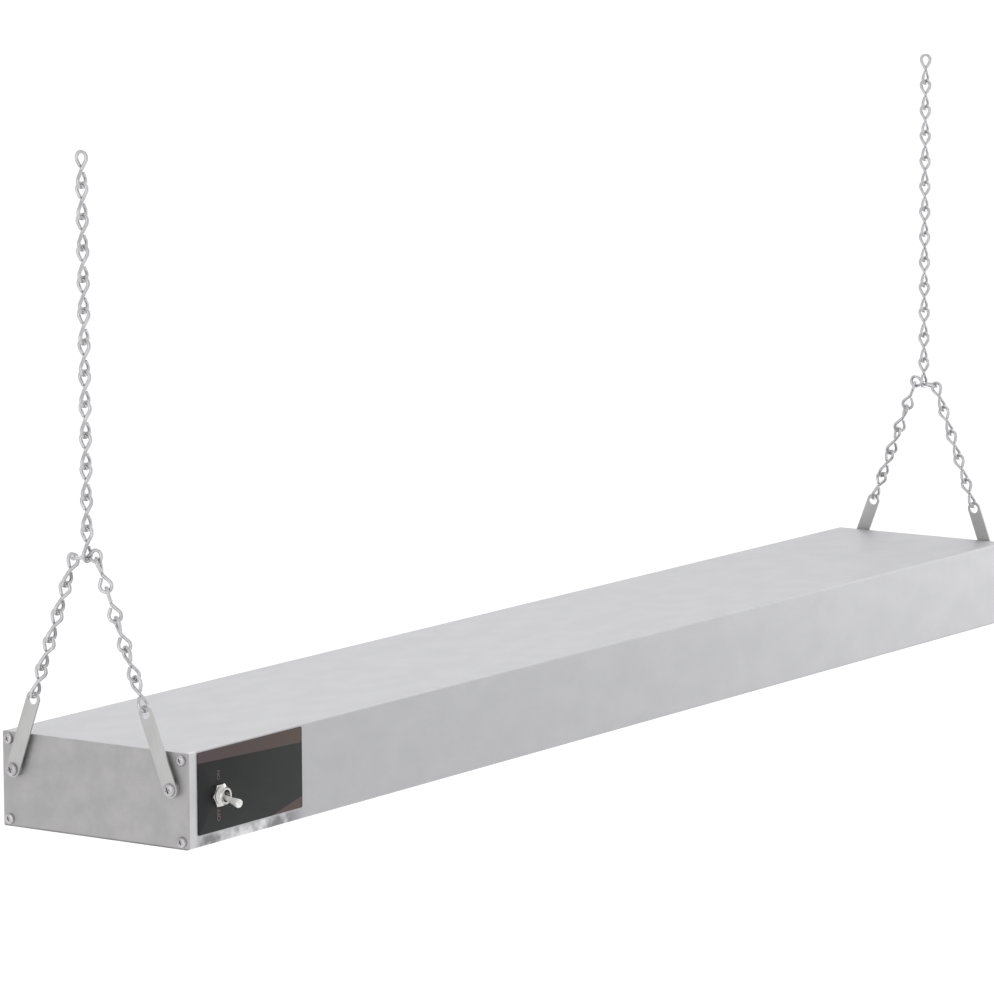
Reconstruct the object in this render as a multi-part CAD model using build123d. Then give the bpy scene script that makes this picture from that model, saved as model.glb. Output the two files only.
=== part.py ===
from build123d import *
import math
import os

# Hanging infrared strip heater for keeping food warm.
# Millimetres, +Z up. +X runs along the heater, the control end is at -X and the control face at -Y.
# The origin lies midway between the eyes of the two top chain links, where the ceiling hooks bear.
# Pieces are modelled with z = 0 on the heater's underside, and are lowered as a whole when exported.

# ---- driving dimensions -------------------------------------------------------------------------

# heater
LENGTH = 1066.8  # 42 in over the end caps
DEPTH = 152.4  # 6 in front to back
HEIGHT = 63.5  # 2 1/2 in
WALL = 1.6  # housing extrusion
EDGE_RADIUS = 1.2  # long outer edges of the extrusion
LIP_WIDTH = 18.0  # bottom lips that carry the reflector and the covers
CAP_THICK = 2.0  # end caps

# screw channels of the extrusion and the end cap screws
CHANNEL_INSET = 5.0  # channel axis from the outer faces
CHANNEL_RADIUS = 4.2
CHANNEL_BORE = 1.75
CHANNEL_MOUTH = 1.8
CAP_SCREW_HEAD_RADIUS = 3.6
CAP_SCREW_HEAD_HEIGHT = 2.2
CAP_SCREW_LENGTH = 14.0
PAN_DRAFT_ANGLE = 15.0  # draft of a pan head's side

# flats that stand in for round outlines, so that what repeats stays light
SMALL_FLAT_COUNT = 8  # screws, nuts and spacers
TURNED_FLAT_COUNT = 16  # bushings and ceramics
WIRE_FLAT_COUNT = 5

# fits
SEAT_GAP = 0.1  # between sheets that sit on each other
HOLE_CLEARANCE = 0.2  # radial, round pieces in plain holes
THREAD_CLEARANCE = 0.05  # radial, screws in their threads

# reflector and the two walls that end it
SHEET = 0.8
SEAT_MARGIN = 1.4  # from the sheets on the lips to the screw channels
MOUTH_MARGIN = 1.2  # from the lips' edges to the reflector's mouth
LOWER_SLOPE = 12.0  # mouth to shoulder, across
UPPER_SLOPE = 24.0  # shoulder to crown, across
SHOULDER_DROP = 20.0  # crown to shoulder, down
CROWN_ROOM = 15.4  # air between the crown and the housing's top
BEND_RADIUS = 3.0
BULKHEAD_THICK = 1.0
BULKHEAD_FLANGE = 12.0
CONTROL_BAY = 140.0  # closed bay at the control end, from the outer face of its cap
FAR_BAY = 60.0

# tubular heating element
ELEMENT_RADIUS = 5.0
ELEMENT_HEIGHT = 26.0
ELEMENT_OVERHANG = 26.0  # sheath past each bulkhead
ELEMENT_PIN_RADIUS = 1.6
ELEMENT_PIN_LENGTH = 14.0
ELEMENT_SEAL_LENGTH = 7.0
INSULATOR_RADIUS = 8.0
INSULATOR_LENGTH = 14.0
INSULATOR_FLANGE_RADIUS = 11.0
INSULATOR_FLANGE = 3.0
CLIP_COUNT = 3
CLIP_WIDTH = 10.0
CLIP_THICK = 1.2
CLIP_FOOT = 10.0
CLIP_FLAT_COUNT = 12  # flats of a clip's wrap round the rod

# covers under the two bays
COVER_THICK = 1.2
COVER_SCREW_RADIUS = 1.6
COVER_SCREW_LENGTH = 6.0
COVER_SCREW_HEAD_RADIUS = 3.0
COVER_SCREW_HEAD_HEIGHT = 1.6
COVER_SCREW_INSET = 14.0  # from the cover's ends

# control plate and toggle switch
PLATE_THICK = 0.8
PLATE_WIDTH = 113.0
PLATE_HEIGHT = 54.4
PLATE_INSET = 10.4  # from the outer face of the end cap
SWITCH_INSET = 32.0
SWITCH_HEIGHT = 31.4
BUSHING_RADIUS = 5.95
BUSHING_BORE = 4.1
BUSHING_PROUD = 6.4  # past the control plate
SWITCH_NUT_WIDTH = 14.2
SWITCH_NUT_THICK = 2.4
SWITCH_BODY_WIDTH = 19.0
SWITCH_BODY_DEPTH = 26.0
SWITCH_BODY_HEIGHT = 31.0
SWITCH_BODY_GAP = 4.0  # from the front wall to the switch body
TERMINAL_THICK = 0.8
TERMINAL_WIDTH = 6.3
TERMINAL_LENGTH = 8.0
TERMINAL_SPACING = 17.0
LEVER_ANGLE = 14.0  # either side of square to the plate
LEVER_LENGTH = 15.5  # pivot to the centre of the bat's end
LEVER_NECK_RADIUS = 1.6
LEVER_END_RADIUS = 2.9
LEVER_BALL_RADIUS = 3.7
LEVER_PIVOT_PROUD = 0.6  # pivot ahead of the control plate's face

# cord entry in the back wall
ENTRY_INSET = 70.0
ENTRY_HEIGHT = 31.75
ENTRY_HOLE_RADIUS = 11.1
ENTRY_BORE_RADIUS = 8.0
ENTRY_FLANGE_RADIUS = 13.5
ENTRY_FLANGE = 2.0
ENTRY_BARREL = 9.0
ENTRY_SNAP = 0.7  # how far the snap ridge stands out past the hole
SNAP_DRAFT_ANGLE = 25.0  # draft of the ridge, which eases the bushing into its hole

# hanger straps and their pivot screws
STRAP_WIDTH = 11.1
STRAP_THICK = 1.5
STRAP_REACH = 51.7  # pivot hole to chain hole
STRAP_HOLE_RADIUS = 3.5
STRAP_HOLE_FLAT_COUNT = 12
STRAP_INSET = 11.2  # pivot from the front or back face
STRAP_PIVOT_HEIGHT = 39.3
SPACER_THICK = 3.0
SPACER_RADIUS = 5.0
PIVOT_SCREW_RADIUS = 2.4
PIVOT_HEAD_RADIUS = 4.4
PIVOT_HEAD_HEIGHT = 2.6
PIVOT_NUT_WIDTH = 9.5
PIVOT_NUT_THICK = 3.2
PIVOT_SCREW_TAIL = 2.0  # past the nut

# single jack chain
WIRE = 2.4
PITCH = 20.2
LOOP_WIDTH = 10.4
CHAIN_GAP = 0.4  # between the wires of linked loops
STRAP_GAP = 0.65  # between the last wire and the edge of the strap's hole
TAIL_OFFSET = 2.2  # wire ends from the waist of a link
DROP_LINKS = 13
LEG_LINKS = 5
FOOT_ROLL = 6.0  # roll of the twisted leg's lowest link from a square crossing
HEAD_ROLL = 24.0  # the same for its highest link

# ---- derived places -----------------------------------------------------------------------------

wall_face = DEPTH / 2
cap_outer = LENGTH / 2
cap_inner = cap_outer - CAP_THICK
ceiling = HEIGHT - WALL
seat_z = WALL + SEAT_GAP
seat_half = wall_face - CHANNEL_INSET - CHANNEL_RADIUS - SEAT_MARGIN
mouth_half = wall_face - LIP_WIDTH - MOUTH_MARGIN
shoulder_half = mouth_half - LOWER_SLOPE
crown_half = shoulder_half - UPPER_SLOPE
crown_z = ceiling - CROWN_ROOM
channels = [
    (side * (wall_face - CHANNEL_INSET), z)
    for side in (-1, 1)
    for z in (CHANNEL_INSET, HEIGHT - CHANNEL_INSET)
]
bulkheads = {-1: CONTROL_BAY - cap_outer, 1: cap_outer - FAR_BAY}
heated_length = bulkheads[1] - bulkheads[-1]
covers = {
    -1: (-cap_inner + SEAT_GAP, bulkheads[-1] - BULKHEAD_THICK - SEAT_GAP),
    1: (bulkheads[1] + BULKHEAD_THICK + SEAT_GAP, cap_inner - SEAT_GAP),
}
cover_screw_y = (wall_face - LIP_WIDTH + seat_half) / 2
cover_screws_at = [
    (x, side * cover_screw_y)
    for low, high in covers.values()
    for x in (low + COVER_SCREW_INSET, high - COVER_SCREW_INSET)
    for side in (-1, 1)
]
plate_face = -wall_face - PLATE_THICK
switch_x = SWITCH_INSET - cap_outer
entry_x = ENTRY_INSET - cap_outer
pivot_y = wall_face - STRAP_INSET
strap_inner = cap_outer + SPACER_THICK
strap_outer = strap_inner + STRAP_THICK
chain_x = strap_inner + STRAP_THICK / 2
loop_radius = (LOOP_WIDTH - WIRE) / 2
crossing = WIRE + CHAIN_GAP
link_length = PITCH + crossing  # between the centre lines of its two ends
leg_start = STRAP_REACH + STRAP_HOLE_RADIUS - STRAP_GAP - WIRE / 2
leg_end = leg_start + link_length + (LEG_LINKS - 1) * PITCH

# ---- helpers --------------------------------------------------------------------------------------


def along_x(profile, start, length):
    """Extrude a profile drawn in YZ from x = start towards +X."""
    return extrude(Plane.YZ.offset(start) * profile, length)


def facing(x, y, z, direction):
    """Place that turns +Z to a direction."""
    return Plane(origin=(x, y, z), z_dir=direction).location


def on_base(width, height):
    """Rectangle that stands on the profile's horizontal axis."""
    return Rectangle(width, height, align=(Align.CENTER, Align.MIN))


def disc(radius, flats=SMALL_FLAT_COUNT):
    """Round outline drawn in flats, no wider than its circle."""
    return RegularPolygon(radius, flats)


def hole(radius, flats=SMALL_FLAT_COUNT):
    """Round opening drawn in flats, no narrower than its circle."""
    return RegularPolygon(radius, flats, major_radius=False)


def tapered(base, top, length, flats=SMALL_FLAT_COUNT):
    """Bar that stands on XY and changes from its base radius to its top radius."""
    return extrude(disc(base, flats), length, taper=math.degrees(math.atan2(base - top, length)))


def ring(outer, inner, length, flats=SMALL_FLAT_COUNT):
    """Straight bush that stands on XY."""
    return extrude(disc(outer, flats) - hole(inner, flats), length)


def hex_nut(width, bore, thickness, flats=SMALL_FLAT_COUNT):
    """Nut that stands on XY, given its width over the flats."""
    return extrude(hole(width / 2, 6) - hole(bore, flats), thickness)


def pan_screw(head_radius, head_height, shank_radius, shank_length):
    """Pan head screw along +Z, its head resting on z = 0 and its shank going down."""
    head = extrude(disc(head_radius), head_height, taper=PAN_DRAFT_ANGLE)
    return head + extrude(disc(shank_radius), -shank_length)


def bisect(low, high, excess):
    """The value between low and high at which excess turns positive."""
    for _ in range(50):
        middle = (low + high) / 2
        low, high = (low, middle) if excess(middle) > 0 else (middle, high)
    return (low + high) / 2


# ---- housing --------------------------------------------------------------------------------------


def channel_rim(y, z):
    """Screw channel with its mouth towards the middle of the housing."""
    towards = math.degrees(math.atan2(HEIGHT / 2 - z, -y))
    mouth = Rectangle(2 * CHANNEL_RADIUS, CHANNEL_MOUTH, align=(Align.MIN, Align.CENTER))
    return Pos(y, z) * (disc(CHANNEL_RADIUS) - Rot(0, 0, towards) * mouth)


def housing_profile():
    """Inverted channel with a lip along each bottom edge and a screw channel in each corner."""
    outer = on_base(DEPTH, HEIGHT)
    outer = fillet(outer.vertices(), EDGE_RADIUS)
    hollow = Pos(0, WALL) * on_base(DEPTH - 2 * WALL, HEIGHT - 2 * WALL)
    mouth = on_base(DEPTH - 2 * LIP_WIDTH, 2 * WALL)
    profile = outer - hollow - mouth
    for y, z in channels:
        profile = profile + channel_rim(y, z) - Pos(y, z) * hole(CHANNEL_BORE)
    return profile


def housing():
    shell = along_x(housing_profile(), -cap_inner, 2 * cap_inner)
    shell -= at_switch(0) * switch_hole()
    shell -= facing(entry_x, 0, ENTRY_HEIGHT, (0, 1, 0)) * extrude(Circle(ENTRY_HOLE_RADIUS), DEPTH)
    for x, y in cover_screws_at:
        shell -= Pos(x, y) * extrude(hole(COVER_SCREW_RADIUS + HOLE_CLEARANCE), 2 * WALL, both=True)
    return shell


def end_cap(side):
    plate = on_base(DEPTH, HEIGHT)
    plate = fillet(plate.vertices(), EDGE_RADIUS)
    for y, z in channels:
        plate -= Pos(y, z) * hole(CHANNEL_BORE + HOLE_CLEARANCE)
    for y in (-pivot_y, pivot_y):
        plate -= Pos(y, STRAP_PIVOT_HEIGHT) * hole(PIVOT_SCREW_RADIUS + HOLE_CLEARANCE)
    return along_x(plate, min(side * cap_outer, side * cap_inner), CAP_THICK)


def cap_screws(side):
    shank = CHANNEL_BORE - THREAD_CLEARANCE
    screw = pan_screw(CAP_SCREW_HEAD_RADIUS, CAP_SCREW_HEAD_HEIGHT, shank, CAP_SCREW_LENGTH)
    return [facing(side * cap_outer, y, z, (side, 0, 0)) * screw for y, z in channels]


# ---- reflector and bays ---------------------------------------------------------------------------


def reflector():
    """Trough of bent sheet that rests on the housing's lips."""
    right = [
        (seat_half, seat_z),
        (mouth_half, seat_z),
        (shoulder_half, crown_z - SHOULDER_DROP),
        (crown_half, crown_z),
    ]
    left = [(-y, z) for y, z in reversed(right)]
    inside = FilletPolyline(*right, *left, radius=BEND_RADIUS)
    profile = make_face(offset(inside, SHEET, side=Side.RIGHT, kind=Kind.ARC))
    return along_x(profile, bulkheads[-1] + SEAT_GAP, heated_length - 2 * SEAT_GAP)


def bulkhead(side):
    """Sheet wall that ends the reflector, with a flange under the housing's top."""
    low, high = seat_z, ceiling - SEAT_GAP
    plate = Pos(0, low) * on_base(2 * seat_half, high - low)
    plate -= Pos(0, ELEMENT_HEIGHT) * hole(INSULATOR_RADIUS + HOLE_CLEARANCE, TURNED_FLAT_COUNT)
    flange = Pos(0, high - BULKHEAD_THICK) * on_base(2 * seat_half, BULKHEAD_THICK)
    angle = along_x(plate, 0, BULKHEAD_THICK) + along_x(flange, 0, BULKHEAD_FLANGE)
    return Pos(bulkheads[side], 0, 0) * Rot(0, 0, 0 if side > 0 else 180) * angle


def bay_cover(side):
    low, high = covers[side]
    sheet = Pos((low + high) / 2, 0) * Rectangle(high - low, 2 * seat_half)
    for x, y in cover_screws_at:
        sheet -= Pos(x, y) * hole(COVER_SCREW_RADIUS + THREAD_CLEARANCE)
    return Pos(0, 0, seat_z) * extrude(sheet, COVER_THICK)


def bay_cover_screws():
    screw = pan_screw(
        COVER_SCREW_HEAD_RADIUS, COVER_SCREW_HEAD_HEIGHT, COVER_SCREW_RADIUS, COVER_SCREW_LENGTH
    )
    return [facing(x, y, 0, (0, 0, -1)) * screw for x, y in cover_screws_at]


# ---- heating element --------------------------------------------------------------------------------


def on_element(side, past_bulkhead, towards):
    """Place on the element's axis, at a distance into one bay, facing along X."""
    x = bulkheads[side] + side * past_bulkhead
    return facing(x, 0, ELEMENT_HEIGHT, (towards, 0, 0))


def heating_element():
    """Metal-sheathed rod between the two bays."""
    rod = extrude(Circle(ELEMENT_RADIUS), heated_length + 2 * ELEMENT_OVERHANG)
    return on_element(-1, ELEMENT_OVERHANG, 1) * rod


def element_seal(side):
    """Ceramic plug on the end of the sheath."""
    plug = ring(ELEMENT_RADIUS, ELEMENT_PIN_RADIUS + THREAD_CLEARANCE, ELEMENT_SEAL_LENGTH)
    return on_element(side, ELEMENT_OVERHANG, side) * plug


def element_pin(side):
    """Terminal pin through the plug."""
    pin = extrude(disc(ELEMENT_PIN_RADIUS), ELEMENT_SEAL_LENGTH + ELEMENT_PIN_LENGTH)
    return on_element(side, ELEMENT_OVERHANG, side) * pin


def element_insulator(side):
    """Flanged ceramic bush that carries the rod in its bulkhead."""
    bore = ELEMENT_RADIUS + HOLE_CLEARANCE
    barrel = ring(INSULATOR_RADIUS, bore, INSULATOR_LENGTH, TURNED_FLAT_COUNT)
    flange = ring(INSULATOR_FLANGE_RADIUS, bore, INSULATOR_FLANGE, TURNED_FLAT_COUNT)
    return on_element(side, BULKHEAD_THICK + SEAT_GAP + INSULATOR_FLANGE, -side) * (barrel + flange)


def element_clips():
    """Hooks of strip metal that hang the rod from the reflector, evenly spaced."""
    bore = ELEMENT_RADIUS + HOLE_CLEARANCE
    top = crown_z - SEAT_GAP - ELEMENT_HEIGHT
    stem = on_base(CLIP_THICK, top)
    foot = Pos(0, top) * Rectangle(CLIP_FOOT, CLIP_THICK, align=(Align.MIN, Align.MAX))
    wrap = hole(bore + CLIP_THICK, CLIP_FLAT_COUNT)
    profile = Pos(0, ELEMENT_HEIGHT) * (wrap + stem + foot - hole(bore, CLIP_FLAT_COUNT))
    step = heated_length / (CLIP_COUNT + 1)
    middles = [bulkheads[-1] + step * (n + 1) for n in range(CLIP_COUNT)]
    return [along_x(profile, x - CLIP_WIDTH / 2, CLIP_WIDTH) for x in middles]


# ---- control plate, switch and cord entry -----------------------------------------------------------


def at_switch(y, direction=-1):
    """Place on the switch's axis at a depth, facing out of the front or into the housing."""
    origin = (switch_x, y, SWITCH_HEIGHT)
    return Plane(origin=origin, x_dir=(1, 0, 0), z_dir=(0, direction, 0)).location


def switch_hole():
    return extrude(hole(BUSHING_RADIUS + HOLE_CLEARANCE, TURNED_FLAT_COUNT), DEPTH)


def control_plate():
    """Black plate on the front face, flush with the housing's top edge."""
    centre_x = PLATE_INSET + PLATE_WIDTH / 2 - cap_outer
    centre_z = HEIGHT - EDGE_RADIUS - PLATE_HEIGHT / 2
    plate = Box(PLATE_WIDTH, PLATE_THICK, PLATE_HEIGHT)
    plate = Pos(centre_x, (plate_face - wall_face) / 2, centre_z) * plate
    return plate - at_switch(0) * switch_hole()


def switch_body():
    """Closed switch block with two blade terminals at its back."""
    block = extrude(Rectangle(SWITCH_BODY_WIDTH, SWITCH_BODY_HEIGHT), SWITCH_BODY_DEPTH)
    blade = extrude(Rectangle(TERMINAL_WIDTH, TERMINAL_THICK), SWITCH_BODY_DEPTH + TERMINAL_LENGTH)
    for side in (-1, 1):
        block += Pos(0, side * TERMINAL_SPACING / 2, 0) * blade
    return at_switch(-wall_face + WALL + SWITCH_BODY_GAP, 1) * block


def switch_bushing():
    back = -wall_face + WALL + SWITCH_BODY_GAP
    length = back - plate_face + BUSHING_PROUD
    return at_switch(back) * ring(BUSHING_RADIUS, BUSHING_BORE, length, TURNED_FLAT_COUNT)


def switch_nuts():
    """Nuts on the bushing that clamp the front wall and the plate between them."""
    bore = BUSHING_RADIUS + THREAD_CLEARANCE
    nut = hex_nut(SWITCH_NUT_WIDTH, bore, SWITCH_NUT_THICK, TURNED_FLAT_COUNT)
    return [at_switch(plate_face) * nut, at_switch(-wall_face + WALL, 1) * nut]


def switch_lever():
    """Bat handle on a ball, at rest in its lower position."""
    half_ball = tapered(LEVER_BALL_RADIUS, LEVER_NECK_RADIUS, 0.8 * LEVER_BALL_RADIUS, TURNED_FLAT_COUNT)
    bat = tapered(LEVER_NECK_RADIUS, LEVER_END_RADIUS, LEVER_LENGTH, TURNED_FLAT_COUNT)
    tip = tapered(LEVER_END_RADIUS, LEVER_END_RADIUS / 2, 0.8 * LEVER_END_RADIUS, TURNED_FLAT_COUNT)
    lever = half_ball + Rot(180, 0, 0) * half_ball + bat + Pos(0, 0, LEVER_LENGTH) * tip
    down = math.radians(LEVER_ANGLE)
    pivot = plate_face - LEVER_PIVOT_PROUD
    return facing(switch_x, pivot, SWITCH_HEIGHT, (0, -math.cos(down), -math.sin(down))) * lever


def cord_bushing():
    """Snap-in bushing that lines the cord entry, with a ridge behind the wall."""
    barrel = disc(ENTRY_HOLE_RADIUS - HOLE_CLEARANCE, TURNED_FLAT_COUNT)
    ridge = Pos(0, 0, -WALL - SEAT_GAP) * disc(ENTRY_HOLE_RADIUS + ENTRY_SNAP, TURNED_FLAT_COUNT)
    bushing = extrude(disc(ENTRY_FLANGE_RADIUS, TURNED_FLAT_COUNT), ENTRY_FLANGE)
    bushing += extrude(barrel, -ENTRY_BARREL)
    bushing += extrude(ridge, -2 * ENTRY_SNAP, taper=SNAP_DRAFT_ANGLE)
    bushing -= extrude(Circle(ENTRY_BORE_RADIUS), 2 * ENTRY_BARREL, both=True)
    return facing(entry_x, wall_face, ENTRY_HEIGHT, (0, 1, 0)) * bushing


# ---- bridle geometry ----------------------------------------------------------------------------
# At the left end the middle link of the bridle holds its twisted leg, at the front, in an upright
# loop, and its straight leg, at the back, in a level loop. The right end is the left end turned round.


def middle_link_ends(tilt, height):
    """Where the two legs pull, as (y, z): the upright loop's centre and the level loop's end."""
    centre, tip = link_length / 2 - loop_radius, link_length / 2
    along, rise = math.cos(tilt), math.sin(tilt)
    return (-centre * along, height + centre * rise), (tip * along, height - tip * rise)


def leg_slack(tilt, height):
    """How far each end of the middle link is beyond the reach of its leg."""
    upright, level = middle_link_ends(tilt, height)
    front = math.dist(upright, (-pivot_y, STRAP_PIVOT_HEIGHT)) - (leg_end + loop_radius - crossing)
    back = math.dist(level, (pivot_y, STRAP_PIVOT_HEIGHT)) - (leg_end - crossing)
    return front, back


def bridle_shape():
    """Tilt and height of the middle link with both legs taut, and the lean of both legs, in degrees."""
    lowest = STRAP_PIVOT_HEIGHT + STRAP_REACH

    def height_at(tilt):
        return bisect(lowest, STRAP_PIVOT_HEIGHT + leg_end, lambda z: leg_slack(tilt, z)[1])

    tilt = bisect(0, math.pi / 4, lambda t: leg_slack(t, height_at(t))[0])
    height = height_at(tilt)
    leans = [
        math.degrees(math.atan2(pivot_y - abs(y), z - STRAP_PIVOT_HEIGHT))
        for y, z in middle_link_ends(tilt, height)
    ]
    return math.degrees(tilt), height, {-1: leans[0], 1: leans[1]}


middle_tilt, apex_z, leg_leans = bridle_shape()
drop_z = apex_z - crossing  # lower end of the drop chain, under the middle link's waist
eye_z = drop_z + link_length + (DROP_LINKS - 1) * PITCH - WIRE / 2


def drop_link_z(number):
    """Middle of a link of the drop chain, counted from the top."""
    return drop_z + link_length / 2 + (DROP_LINKS - number) * PITCH


# ---- straps ---------------------------------------------------------------------------------------
# The hanging gear is modelled for the left end; side is -1 at the front and 1 at the back.


def strap(side):
    """Flat bar with round ends, leaning in line with its leg of the bridle."""
    bar = SlotCenterToCenter(STRAP_REACH, STRAP_WIDTH)
    bar -= Pos(-STRAP_REACH / 2, 0) * hole(PIVOT_SCREW_RADIUS + HOLE_CLEARANCE)
    bar -= Pos(STRAP_REACH / 2, 0) * hole(STRAP_HOLE_RADIUS, STRAP_HOLE_FLAT_COUNT)
    turned = Rot(0, 0, 90 + side * leg_leans[side]) * Pos(STRAP_REACH / 2, 0) * bar
    return along_x(Pos(side * pivot_y, STRAP_PIVOT_HEIGHT) * turned, -strap_outer, STRAP_THICK)


def at_pivots(piece, x, direction):
    """A copy of a piece on each pivot of the left end."""
    return [facing(x, y, STRAP_PIVOT_HEIGHT, (direction, 0, 0)) * piece for y in (-pivot_y, pivot_y)]


def strap_spacers():
    spacer = ring(SPACER_RADIUS, PIVOT_SCREW_RADIUS + HOLE_CLEARANCE, SPACER_THICK)
    return at_pivots(spacer, -cap_outer, -1)


def pivot_screws():
    grip = STRAP_THICK + SPACER_THICK + CAP_THICK
    shank = grip + PIVOT_NUT_THICK + PIVOT_SCREW_TAIL
    screw = pan_screw(PIVOT_HEAD_RADIUS, PIVOT_HEAD_HEIGHT, PIVOT_SCREW_RADIUS, shank)
    return at_pivots(screw, -strap_outer, -1)


def pivot_nuts():
    nut = hex_nut(PIVOT_NUT_WIDTH, PIVOT_SCREW_RADIUS + THREAD_CLEARANCE, PIVOT_NUT_THICK)
    return at_pivots(nut, -cap_inner, 1)


# ---- jack chain -----------------------------------------------------------------------------------


def jack_link():
    """Figure of eight in wire: its upper loop lies in XZ, its lower loop in YZ."""
    corner = loop_radius / math.cos(math.pi / 8)
    centre = link_length / 2 - loop_radius
    turns = [math.radians(45 * n - 22.5) for n in range(6)]
    outline = [(corner * math.cos(a), centre + corner * math.sin(a)) for a in turns]
    upper = [(across, 0, up) for across, up in outline]
    lower = [(0, across, -up) for across, up in outline]
    tails = (TAIL_OFFSET, 0, TAIL_OFFSET), (0, -TAIL_OFFSET, -TAIL_OFFSET)
    path = Polyline(tails[0], *upper, (0, 0, 0), *lower, tails[1])
    start = Plane(origin=tails[0], x_dir=(0, 1, 0), z_dir=path % 0)
    wire = start * hole(WIRE / 2, WIRE_FLAT_COUNT)
    return sweep(wire, path=path, transition=Transition.RIGHT)


link = jack_link()


def drop_links(first, last):
    """Links of the left drop chain, counted from the top."""
    places = [
        Plane(origin=(-chain_x, 0, drop_link_z(n)), x_dir=(0, 1, 0), z_dir=(0, 0, 1))
        for n in range(first, last + 1)
    ]
    return [place.location * link for place in places]


def middle_link():
    """Link that lies across the drop chain's last loop."""
    tilt = math.radians(middle_tilt)
    along, rise = math.cos(tilt), math.sin(tilt)
    place = Plane(origin=(-chain_x, 0, apex_z), x_dir=(0, -rise, -along), z_dir=(0, -along, rise))
    return place.location * link


def bridle_leg(side):
    """Links in line with a strap. The front leg winds through a quarter turn on its way up."""
    lean = math.radians(leg_leans[side])
    up = Vector(0, -side * math.sin(lean), math.cos(lean))
    across = Vector(0, math.cos(lean), side * math.sin(lean))
    winding = (90 - FOOT_ROLL - HEAD_ROLL) / (LEG_LINKS - 1)
    links = []
    for n in range(LEG_LINKS):
        roll = 180 - FOOT_ROLL - n * winding if side < 0 else 0
        middle = leg_start + link_length / 2 + n * PITCH
        origin = Vector(-chain_x, side * pivot_y, STRAP_PIVOT_HEIGHT) + up * middle
        place = Plane(origin=origin, x_dir=across.rotate(Axis((0, 0, 0), up), roll), z_dir=up)
        links.append(place.location * link)
    return links


# ---- nodes ------------------------------------------------------------------------------------------

nodes = {
    "housing": housing(),
    "reflector": reflector(),
    "heating_element": heating_element(),
    "element_clips": element_clips(),
    "bay_cover_screws": bay_cover_screws(),
    "control_plate": control_plate(),
    "switch_body": switch_body(),
    "switch_bushing": switch_bushing(),
    "switch_nuts": switch_nuts(),
    "switch_lever": switch_lever(),
    "cord_bushing": cord_bushing(),
}

for end, side in (("left", -1), ("right", 1)):
    turn = Rot(0, 0, 0 if side < 0 else 180)
    nodes |= {
        f"{end}_end_cap": end_cap(side),
        f"{end}_cap_screws": cap_screws(side),
        f"{end}_bulkhead": bulkhead(side),
        f"{end}_bay_cover": bay_cover(side),
        f"{end}_element_seal": element_seal(side),
        f"{end}_element_pin": element_pin(side),
        f"{end}_element_insulator": element_insulator(side),
        f"{end}_top_link": [turn * piece for piece in drop_links(1, 1)],
        f"{end}_swing_link": [turn * piece for piece in drop_links(2, 2)],
        f"{end}_drop_chain": [turn * piece for piece in drop_links(3, DROP_LINKS)],
        f"{end}_middle_link": turn * middle_link(),
        f"{end}_strap_spacers": [turn * piece for piece in strap_spacers()],
        f"{end}_pivot_screws": [turn * piece for piece in pivot_screws()],
        f"{end}_pivot_nuts": [turn * piece for piece in pivot_nuts()],
    }
    for leg in (-1, 1):
        where = "front" if leg == side else "back"
        nodes[f"{end}_{where}_strap"] = turn * strap(leg)
        nodes[f"{end}_{where}_bridle_leg"] = [turn * piece for piece in bridle_leg(leg)]

os.makedirs("parts", exist_ok=True)
for name, pieces in nodes.items():
    group = pieces if isinstance(pieces, list) else [pieces]
    solids = [solid for piece in group for solid in piece.solids()]
    export_step(Pos(0, 0, -eye_z) * Compound(children=solids), f"parts/{name}.step")
print("top eye above the heater's underside", round(eye_z, 3))
print("leg leans", {side: round(lean, 2) for side, lean in leg_leans.items()})
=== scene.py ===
"""Hanging strip food warmer: its visible pieces, finishes, light and camera.

Sizes are in millimetres. Heights are measured from the heater's underside, X runs along the heater
from its control end, and -Y looks out of the face with the control plate. Meshes are in metres.
"""

import logging
import math
from dataclasses import dataclass, field
from enum import Enum
from typing import Callable, Iterable, Sequence

import bmesh
import bpy
from mathutils import Matrix, Vector

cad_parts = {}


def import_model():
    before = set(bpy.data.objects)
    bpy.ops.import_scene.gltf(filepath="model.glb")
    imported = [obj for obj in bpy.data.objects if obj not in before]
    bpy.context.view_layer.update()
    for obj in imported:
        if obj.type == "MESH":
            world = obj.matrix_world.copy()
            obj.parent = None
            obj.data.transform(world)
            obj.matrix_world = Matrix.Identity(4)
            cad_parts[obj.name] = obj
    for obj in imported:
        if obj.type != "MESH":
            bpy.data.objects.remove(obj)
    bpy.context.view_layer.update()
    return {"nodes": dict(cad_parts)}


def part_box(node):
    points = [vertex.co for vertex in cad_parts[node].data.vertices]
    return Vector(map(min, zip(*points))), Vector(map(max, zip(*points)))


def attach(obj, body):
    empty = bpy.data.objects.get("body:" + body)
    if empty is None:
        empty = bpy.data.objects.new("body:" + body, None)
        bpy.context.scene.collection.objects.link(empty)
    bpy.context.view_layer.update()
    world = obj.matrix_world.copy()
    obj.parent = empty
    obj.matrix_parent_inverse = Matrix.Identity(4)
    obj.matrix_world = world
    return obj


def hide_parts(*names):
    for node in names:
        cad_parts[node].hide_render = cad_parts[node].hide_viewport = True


LOG = logging.getLogger("strip_warmer")
MM = 0.001
WELD = 1e-6  # corners nearer than this are one corner, in metres

Object = bpy.types.Object
Node = bpy.types.Node
Socket = bpy.types.NodeSocket
Tree = bpy.types.NodeTree
Colour = tuple[float, float, float]
FaceTest = Callable[[Vector, Vector], bool]


def mm(x: float, y: float, z: float) -> Vector:
    """A length or place given in millimetres, in metres."""
    return Vector((x, y, z)) * MM


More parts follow.
